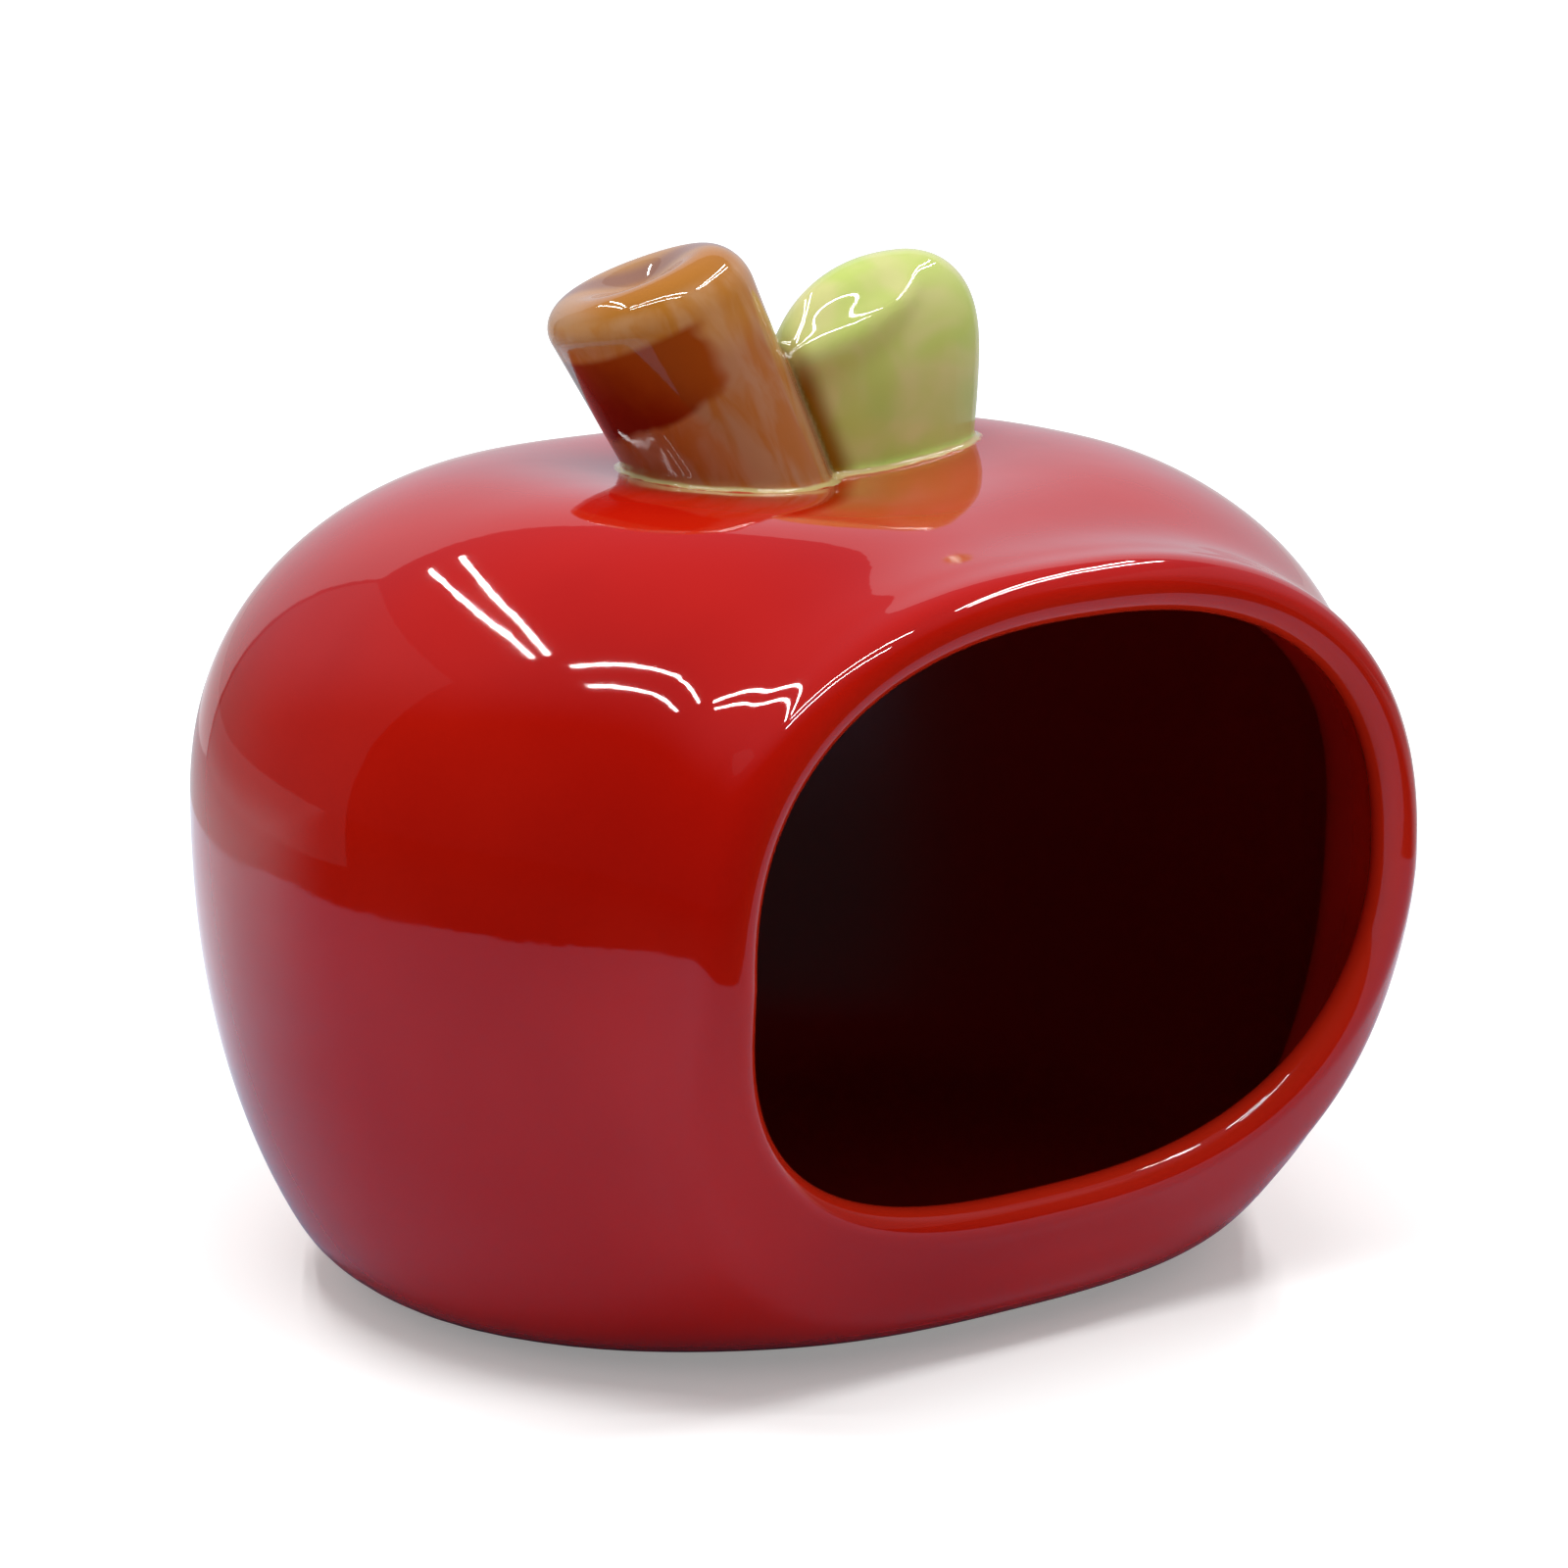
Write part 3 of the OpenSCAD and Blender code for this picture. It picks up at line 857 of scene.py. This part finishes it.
def stem_cut(tree, right, front):
    """Colours of the stem's cut: tan at the back and the left, ochre in front, a mauve streak."""
    colour = blended(tree, stepped(tree, front, -2.0, 1.5), CUT_TAN, CUT_OCHRE)
    colour = blended(tree, stepped(tree, right, -2.0, -7.0), colour, CUT_PALE)
    from_streak = math_node(tree, "ABSOLUTE", plus(tree, front, 2.6))
    streak = times(tree, stepped(tree, from_streak, 2.6, 0.4), 0.8)
    return blended(tree, streak, colour, CUT_MAUVE)


def stem_glazes(tree):
    """Colours of the stem, placed by millimetres to its right, to its front and up its length."""
    grain = attribute(tree, "grain", "Vector")
    right, front, height = add(tree, "ShaderNodeSeparateXYZ", {0: grain}).outputs
    side = stem_side(tree, grain, right, front, height)
    return blended(tree, attribute(tree, "cut"), side, stem_cut(tree, right, front))


def leaf_glazes(tree, place):
    """Colours of the leaf: smooth yellow green with pale and darker clouds."""
    clouds = noise(tree, place, 120.0, 2.0, 0.5, 0.6)
    pools = noise(tree, place, 75.0, 1.0)
    green = blended(tree, stepped(tree, clouds, 0.35, 0.65), LEAF_GREEN, LEAF_PALE)
    return blended(tree, stepped(tree, pools, 0.45, 0.68), green, LEAF_DARK)


def sprig_glaze():
    """Brown stem and green leaf in runny glazes, with a thin cream line round their foot and painted
    shade in the crease between them.
    """
    material, tree = new_material("sprig_glaze")
    place = object_place(tree)
    colour = blended(tree, attribute(tree, "leaf"), stem_glazes(tree), leaf_glazes(tree, place))
    colour = blended(tree, attribute(tree, "pool"), colour, POOL_OLIVE)
    # Painted shade: the crease between stem and leaf is darkened towards dark brown
    colour = blended(tree, times(tree, attribute(tree, "crease"), 0.8), colour, CREASE_SHADE_BROWN)

    wander = times(tree, noise(tree, place, 250.0, 2.0), 0.5)
    edge = minus(tree, attribute(tree, "above"), wander)
    fringe = blended(tree, stepped(tree, edge, -0.30, -0.18), FRINGE_RED, CREAM)
    colour = blended(tree, stepped(tree, edge, 0.02, 0.30), fringe, colour)
    add_shader(tree, colour, 0.04, glaze_bump(tree, place, 0.2))
    return material


def add_camera():
    """Camera at the photograph's place and angle of view."""
    azimuth, elevation = math.radians(CAMERA_AZIMUTH), math.radians(CAMERA_ELEVATION)
    back = Vector(
        (
            math.sin(azimuth) * math.cos(elevation),
            -math.cos(azimuth) * math.cos(elevation),
            math.sin(elevation),
        )
    )
    right = Vector((math.cos(azimuth), math.sin(azimuth), 0))
    up = back.cross(right)
    target = right * CAMERA_ASIDE + Vector((0, 0, CAMERA_AIM_HEIGHT))
    data = bpy.data.cameras.new("camera")
    data.lens = CAMERA_LENS
    data.sensor_width = 36
    data.clip_start = 0.01
    data.clip_end = 20
    camera = bpy.data.objects.new("camera", data)
    turn = Matrix((right, up, back)).transposed().to_4x4()
    camera.matrix_world = Matrix.Translation(target + back * CAMERA_DISTANCE) @ turn
    bpy.context.scene.collection.objects.link(camera)
    bpy.context.scene.camera = camera


def studio(right, front, height):
    """Point of the studio, measured to the right of the camera's line of sight and towards it."""
    azimuth = math.radians(CAMERA_AZIMUTH)
    x = right * math.cos(azimuth) + front * math.sin(azimuth)
    y = right * math.sin(azimuth) - front * math.cos(azimuth)
    return Vector((x, y, height))


def add_panel(name, middle, across, upwards, radiance, colour=(1, 1, 1)):
    """Area lamp round a middle, given half its sides as vectors, lit where their product points."""
    data = bpy.data.lights.new(name, "AREA")
    data.shape = "RECTANGLE"
    data.size, data.size_y = 2 * across.length, 2 * upwards.length
    data.energy = 4 * radiance * data.size * data.size_y
    data.color = colour
    lamp = bpy.data.objects.new(name, data)
    lit = across.cross(upwards).normalized()
    turn = Matrix((-across.normalized(), upwards.normalized(), -lit))
    lamp.matrix_world = Matrix.Translation(middle) @ turn.transposed().to_4x4()
    lamp.visible_camera = False
    bpy.context.scene.collection.objects.link(lamp)
    return lamp


def add_bar(name, start, end, radiance):
    """Thin lamp under the ceiling from one point to another, facing down."""
    along = (end - start) / 2
    across = Vector((0, 0, 1)).cross(along).normalized() * BAR_HALF_WIDTH
    panel = add_panel(name, (start + end) / 2, along, across, radiance)
    if panel.matrix_world.to_3x3().col[2].z < 0:
        panel.matrix_world = panel.matrix_world @ Matrix.Rotation(math.pi, 4, "X")


def add_lamps():
    """Light box: pairs of bars under its ceiling, a bright backdrop and dimmer side walls."""
    for i, side in enumerate((-1, 1)):
        for j, places in enumerate(SIDE_BARS):
            ends = [
                studio(side * right, front, BOX_HEIGHT) for right, front in zip(places, SIDE_BAR_ENDS)
            ]
            add_bar(f"side_bar_{i}_{j}", *ends, BAR_RADIANCE)
    for j, front in enumerate(FRONT_BARS):
        ends = [studio(right, front, BOX_HEIGHT) for right in FRONT_BAR_ENDS]
        add_bar(f"front_bar_{j}", *ends, BAR_RADIANCE)
    half_height = Vector((0, 0, BOX_HEIGHT / 2))
    middle = studio(0, -BOX_BACK, BOX_HEIGHT / 2)
    right = studio(BOX_SIDE - PANEL_GAP, 0, 0)
    add_panel("backdrop", middle, right, half_height, BACKDROP_RADIANCE, BACKDROP_COLOUR)
    half_wall = studio(0, (WALL_END + BOX_BACK) / 2, 0)
    for i, side in enumerate((-1, 1)):
        middle = studio(side * BOX_SIDE, (WALL_END - BOX_BACK) / 2, BOX_HEIGHT / 2)
        along = half_wall * side
        add_panel(f"wall_{i}", middle, along, half_height, WALL_RADIANCE, BACKDROP_COLOUR)


def add_floor():
    """Pale floor that keeps the object's shadow and shows white where it is lit."""
    mesh = bpy.data.meshes.new("floor")
    corners = [(x * FLOOR_HALF, y * FLOOR_HALF, 0) for x, y in ((-1, -1), (1, -1), (1, 1), (-1, 1))]
    mesh.from_pydata(corners, [], [(0, 1, 2, 3)])
    floor = bpy.data.objects.new("floor", mesh)
    bpy.context.scene.collection.objects.link(floor)
    material, tree = new_material("floor")
    path = add(tree, "ShaderNodeLightPath").outputs
    place = object_place(tree)
    reach = add(tree, "ShaderNodeVectorMath", {0: place}, operation="LENGTH").outputs["Value"]
    beyond = stepped(tree, reach, TABLE_RADIUS - TABLE_EDGE, TABLE_RADIUS + TABLE_EDGE)
    behind = stepped(tree, reach_along(tree, place, studio(0, 1, 0)), *BEHIND_FADE)
    table = blended(tree, behind, TABLE_FRONT, TABLE_BEHIND)
    sweep = blended(tree, behind, BEYOND_FRONT, BEYOND_BEHIND)
    mirrored = blended(tree, beyond, table, sweep)
    colour = blended(tree, path["Is Glossy Ray"], FLOOR_COLOUR, mirrored)
    paper = add(tree, "ShaderNodeBsdfDiffuse", {"Color": colour})
    strength = stepped(tree, reach, *GLOW_REACH, FLOOR_GLOW, 1.0)
    glow = add(tree, "ShaderNodeEmission", {"Color": (1, 1, 1, 1), "Strength": strength})
    both = add(tree, "ShaderNodeAddShader", {0: paper.outputs[0], 1: glow.outputs[0]})
    chosen = add(
        tree,
        "ShaderNodeMixShader",
        {0: path["Is Camera Ray"], 1: paper.outputs[0], 2: both.outputs[0]},
    )
    add(tree, "ShaderNodeOutputMaterial", {"Surface": chosen.outputs[0]})
    mesh.materials.append(material)


def build_world():
    """White backdrop for the camera, and a dim room for gloss and soft light."""
    world = bpy.data.worlds.new("studio")
    bpy.context.scene.world = world
    world.use_nodes = True
    tree = world.node_tree
    tree.nodes.clear()
    path = add(tree, "ShaderNodeLightPath").outputs
    direction = add(tree, "ShaderNodeTexCoord").outputs["Generated"]
    height = add(tree, "ShaderNodeSeparateXYZ", {0: direction}).outputs["Z"]
    backwards = stepped(tree, reach_along(tree, direction, studio(0, -1, 0)), *WALL_FADE)
    wall = times(tree, backwards, stepped(tree, height, *WALL_TOP_FADE))
    room = blended(tree, wall, ROOM_COLOUR, WALL_COLOUR)
    upwards = reach_along(tree, direction, studio(0, -CEILING_LEAN, 1))
    room = blended(tree, stepped(tree, upwards, *CEILING_FADE), room, CEILING_COLOUR)
    seen = math_node(tree, "MAXIMUM", path["Is Glossy Ray"], path["Is Transmission Ray"])
    colour = blended(tree, seen, (*[AMBIENT] * 3, 1), room)
    colour = blended(tree, path["Is Camera Ray"], colour, (1, 1, 1, 1))
    background = add(tree, "ShaderNodeBackground", {"Color": colour, "Strength": 1.0})
    add(tree, "ShaderNodeOutputWorld", {"Surface": background.outputs[0]})


bpy.context.scene.view_settings.view_transform = "Standard"
add_camera()
add_floor()
build_world()
add_lamps()

body = build_body()
body.data.materials.append(red_glaze())
sprig = build_sprig()
sprig.data.materials.append(sprig_glaze())

for piece in (body, sprig):
    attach(piece, "root")
    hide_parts("hideout")
